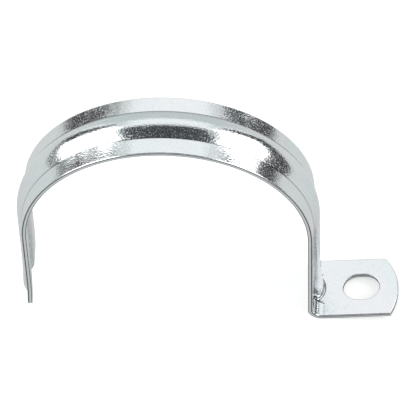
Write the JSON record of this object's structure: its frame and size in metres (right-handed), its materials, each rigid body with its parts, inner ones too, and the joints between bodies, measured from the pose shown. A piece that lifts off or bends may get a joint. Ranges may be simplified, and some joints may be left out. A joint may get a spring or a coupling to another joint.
{
  "type": "conduit strap",
  "caption": "One-hole conduit strap: a ribbed half-round sheet-steel arch with a free leg and an outward foot with a screw slot.",
  "frame": {"origin": "on the axis of the conduit, halfway across the strap's width", "axes": "+Y along the conduit, +Z from the wall outwards through the crown of the arch, +X towards the foot"},
  "size_m": [0.1213, 0.0218, 0.0895],
  "materials": {
    "zinc_plated_steel": "bright zinc plating over pressed steel, faintly blue, satin with a fine grain"
  },
  "bodies": {
    "root": {"strap": "zinc_plated_steel"}
  },
  "joints": []
}
